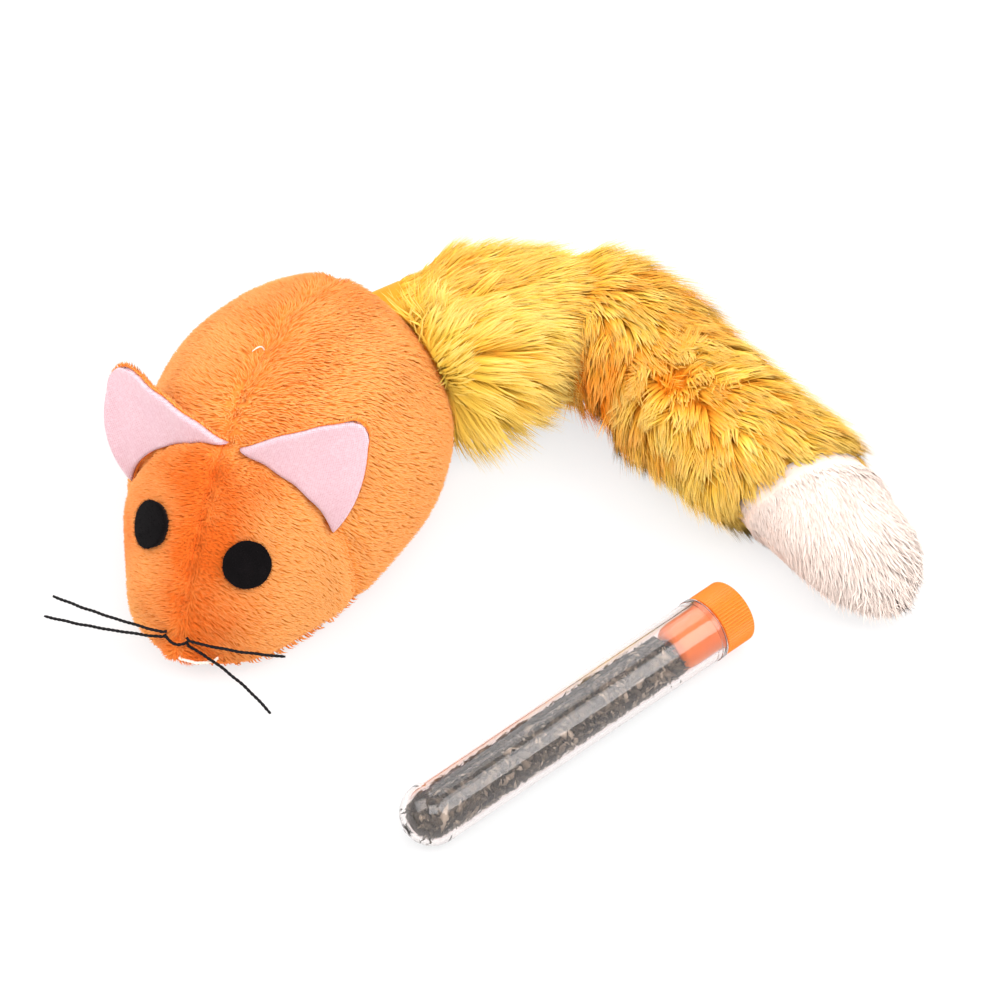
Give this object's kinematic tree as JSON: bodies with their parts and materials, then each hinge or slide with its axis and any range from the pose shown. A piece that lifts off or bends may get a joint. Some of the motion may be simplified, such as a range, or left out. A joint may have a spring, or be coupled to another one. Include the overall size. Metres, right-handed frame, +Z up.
{
  "type": "mouse cat toy",
  "caption": "Stuffed plush mouse with knit ears, felt eyes, thread whiskers and a long furry tail, lying beside a clear stoppered tube of dried catnip that refills its belly pouch.",
  "frame": {"origin": "on the floor under the middle of the stuffed body, on the flat of the belly", "axes": "+Z up, the nose points along -Y and the mouse's left side is +X; the tail curls round behind to +X, and the tube lies on that side"},
  "size_m": [0.1497, 0.1398, 0.0488],
  "materials": {
    "orange_plush": "short pile plush, matt",
    "fibre_fill": "loose polyester fibre",
    "pouch_cotton": "plain woven cotton",
    "tape_nylon": "hook and loop tape",
    "pink_knit": "brushed knit",
    "black_felt": "pressed felt",
    "black_thread": "waxed twisted thread",
    "pale_thread": "sewing thread",
    "yellow_fur": "long pile fake fur",
    "cream_fur": "fake fur, shorter pile",
    "clear_plastic": "clear moulded plastic",
    "orange_plastic": "soft satin plastic",
    "dried_leaf": "crushed dried leaf"
  },
  "bodies": {
    "body": {"head_panel_left": "orange_plush", "head_panel_right": "orange_plush", "body_panel_left": "orange_plush", "body_panel_right": "orange_plush", "belly_panel": "orange_plush", "head_stuffing": "fibre_fill", "body_stuffing": "fibre_fill", "catnip_pouch": "pouch_cotton", "loop_tape": "tape_nylon", "eye_left": "black_felt", "eye_right": "black_felt", "nose_stitch": "black_thread", "chin_stitch": "pale_thread", "seam_thread_end": "pale_thread"},
    "ear_left": {"ear_left_lining": "pink_knit", "ear_left_back": "orange_plush"},
    "ear_right": {"ear_right_lining": "pink_knit", "ear_right_back": "orange_plush"},
    "whisker_right_upper": {"whisker_right_upper": "black_thread"},
    "whisker_right_lower": {"whisker_right_lower": "black_thread"},
    "whisker_left_upper": {"whisker_left_upper": "black_thread"},
    "whisker_left_lower": {"whisker_left_lower": "black_thread"},
    "flap": {"pocket_flap": "orange_plush", "hook_tape": "tape_nylon"},
    "tail_hub": {"tail_root": "yellow_fur"},
    "tail_base": {"tail_base_sleeve": "yellow_fur", "tail_base_stuffing": "fibre_fill"},
    "tail_middle": {"tail_middle_sleeve": "yellow_fur", "tail_middle_stuffing": "fibre_fill"},
    "tail_tip": {"tail_tip_sleeve": "cream_fur", "tail_tip_stuffing": "fibre_fill"},
    "tube": {"tube": "clear_plastic", "catnip_fill": "dried_leaf"},
    "stopper": {"stopper": "orange_plastic"}
  },
  "joints": [
    {"name": "ear_left_fold", "type": "hinge", "parent": "body", "child": "ear_left", "pos_m": [0.01527, -0.01559, 0.03559], "axis": [0.7709, 0, -0.6369], "range_deg": [-30, 30], "stiffness_Nm_per_rad": 0.002},
    {"name": "ear_right_fold", "type": "hinge", "parent": "body", "child": "ear_right", "pos_m": [-0.01299, -0.01513, 0.03554], "axis": [0.746, 0, 0.666], "range_deg": [-30, 30], "stiffness_Nm_per_rad": 0.002},
    {"name": "whisker_right_upper_flick", "type": "hinge", "parent": "body", "child": "whisker_right_upper", "pos_m": [-0.0028, -0.04165, 0.0121], "axis": [0, 0, 1], "range_deg": [-10, 30], "stiffness_Nm_per_rad": 0.00002},
    {"name": "whisker_right_lower_flick", "type": "hinge", "parent": "body", "child": "whisker_right_lower", "pos_m": [-0.0028, -0.04202, 0.0111], "axis": [0, 0, 1], "range_deg": [-10, 30], "stiffness_Nm_per_rad": 0.00002},
    {"name": "whisker_left_upper_flick", "type": "hinge", "parent": "body", "child": "whisker_left_upper", "pos_m": [0.0028, -0.04177, 0.0121], "axis": [0, 0, -1], "range_deg": [-10, 30], "stiffness_Nm_per_rad": 0.00002},
    {"name": "whisker_left_lower_flick", "type": "hinge", "parent": "body", "child": "whisker_left_lower", "pos_m": [0.0028, -0.04215, 0.0111], "axis": [0, 0, -1], "range_deg": [0, 30], "stiffness_Nm_per_rad": 0.00002},
    {"name": "flap_open", "type": "hinge", "parent": "body", "child": "flap", "pos_m": [-0.0082, 0.0175, 0.0004], "axis": [0, 1, 0], "range_deg": [0, 105]},
    {"name": "tail_swing", "type": "hinge", "parent": "body", "child": "tail_hub", "pos_m": [0.008, 0.0434, 0.0185], "axis": [0, 0, 1], "range_deg": [0, 60]},
    {"name": "tail_lift", "type": "hinge", "parent": "tail_hub", "child": "tail_base", "pos_m": [0.008, 0.0434, 0.0185], "axis": [0.2909, -0.9567, 0], "range_deg": [0, 30]},
    {"name": "tail_bend", "type": "hinge", "parent": "tail_base", "child": "tail_middle", "pos_m": [0.04148, 0.06188, 0.0144], "axis": [0, 0, 1], "range_deg": [0, 36]},
    {"name": "tail_tip_bend", "type": "hinge", "parent": "tail_middle", "child": "tail_tip", "pos_m": [0.09843, 0.03512, 0.01299], "axis": [0, 0, 1], "range_deg": [-30, 30]},
    {"name": "tube_lift", "type": "slide", "parent": "body", "child": "tube", "axis": [0, 0, 1], "range_m": [0, 0.06]},
    {"name": "stopper_pull", "type": "slide", "parent": "tube", "child": "stopper", "axis": [0.4742, 0.8804, 0.007], "range_m": [0, 0.0105]}
  ]
}
